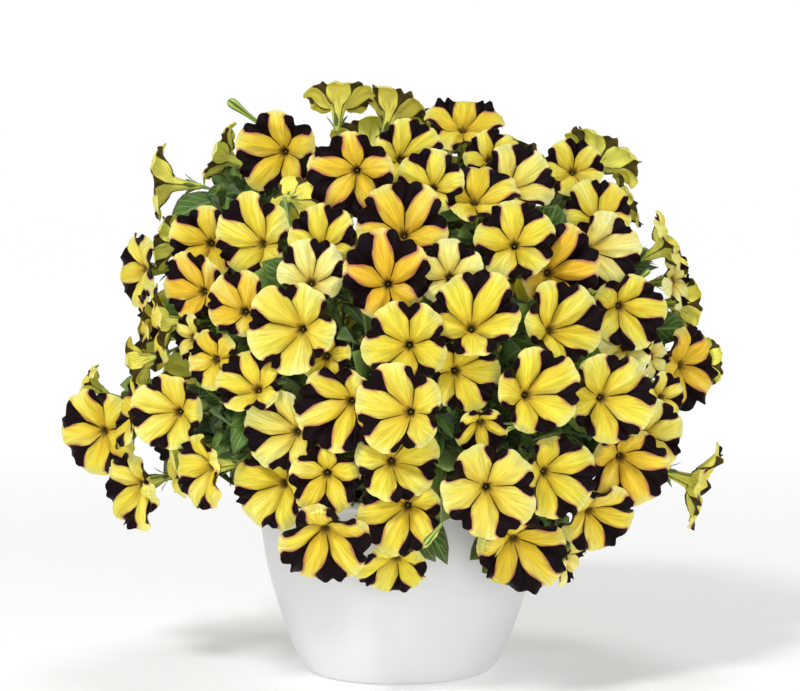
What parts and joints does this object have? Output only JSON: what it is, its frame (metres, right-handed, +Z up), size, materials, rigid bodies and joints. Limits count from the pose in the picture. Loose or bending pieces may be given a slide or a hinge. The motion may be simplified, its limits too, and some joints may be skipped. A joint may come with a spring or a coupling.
{
  "type": "potted petunia",
  "caption": "Round mound of striped trumpet blooms on leafy stems, growing in soil in a plain bowl-shaped pot.",
  "frame": {"origin": "centre of the pot's flat underside", "axes": "+Z up along the pot's axis; the best side of the plant faces -Y"},
  "size_m": [0.4765, 0.4163, 0.4236],
  "materials": {
    "pot_plastic": "smooth satin moulded plastic, very light cool grey white",
    "soil": "loose damp peat compost, matt",
    "petals": "soft velvety petals, lemon yellow with near black purple blotches at the seams; the stems, leaves and buds of the same spray are hairy sage green"
  },
  "bodies": {
    "root": {"pot": "pot_plastic", "soil": "soil", "spray_01": "petals", "spray_02": "petals", "spray_03": "petals", "spray_04": "petals", "spray_05": "petals", "spray_06": "petals", "spray_07": "petals", "spray_08": "petals", "spray_09": "petals", "spray_10": "petals", "spray_11": "petals", "spray_12": "petals", "spray_13": "petals", "spray_14": "petals", "spray_15": "petals", "spray_16": "petals", "spray_17": "petals", "spray_18": "petals", "spray_19": "petals", "spray_20": "petals", "spray_21": "petals", "spray_22": "petals", "spray_23": "petals", "spray_24": "petals", "spray_25": "petals", "spray_26": "petals", "spray_27": "petals", "spray_28": "petals", "spray_29": "petals", "spray_30": "petals", "spray_31": "petals", "spray_32": "petals", "spray_33": "petals", "spray_34": "petals", "spray_35": "petals"}
  },
  "joints": []
}
